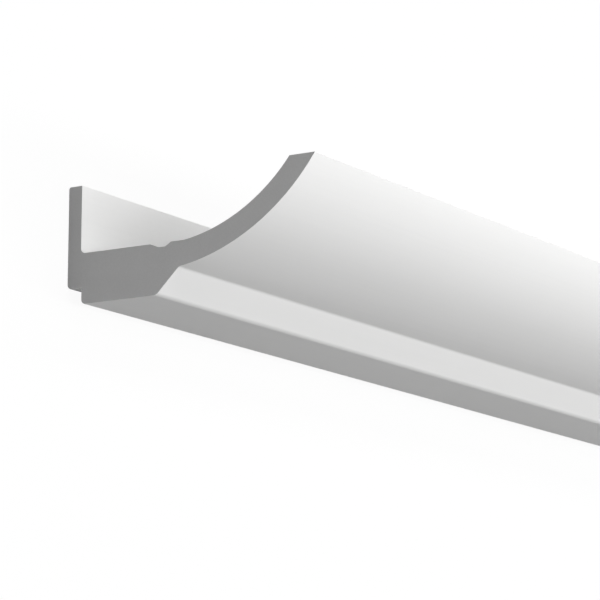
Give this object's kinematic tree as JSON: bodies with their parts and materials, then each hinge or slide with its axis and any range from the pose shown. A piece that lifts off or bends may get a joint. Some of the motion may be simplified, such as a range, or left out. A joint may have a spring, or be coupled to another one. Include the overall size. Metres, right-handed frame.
{
  "type": "cornice moulding",
  "caption": "Straight cornice moulding for indirect light: a wall flange and a grooved base carry a lip that sweeps out and up in front of the light trough.",
  "frame": {"origin": "middle of the flat wall face, at half the length", "axes": "+X along the length; +Y across, towards the edge that faces the ceiling when fitted; +Z out from the wall face, so up as the length lies on its back"},
  "size_m": [2, 0.06, 0.1438],
  "materials": {
    "white_primer": "matt white factory primer on rigid foamed polymer, with square-cut plain grey ends"
  },
  "bodies": {
    "root": {"cornice_moulding": "white_primer"}
  },
  "joints": []
}
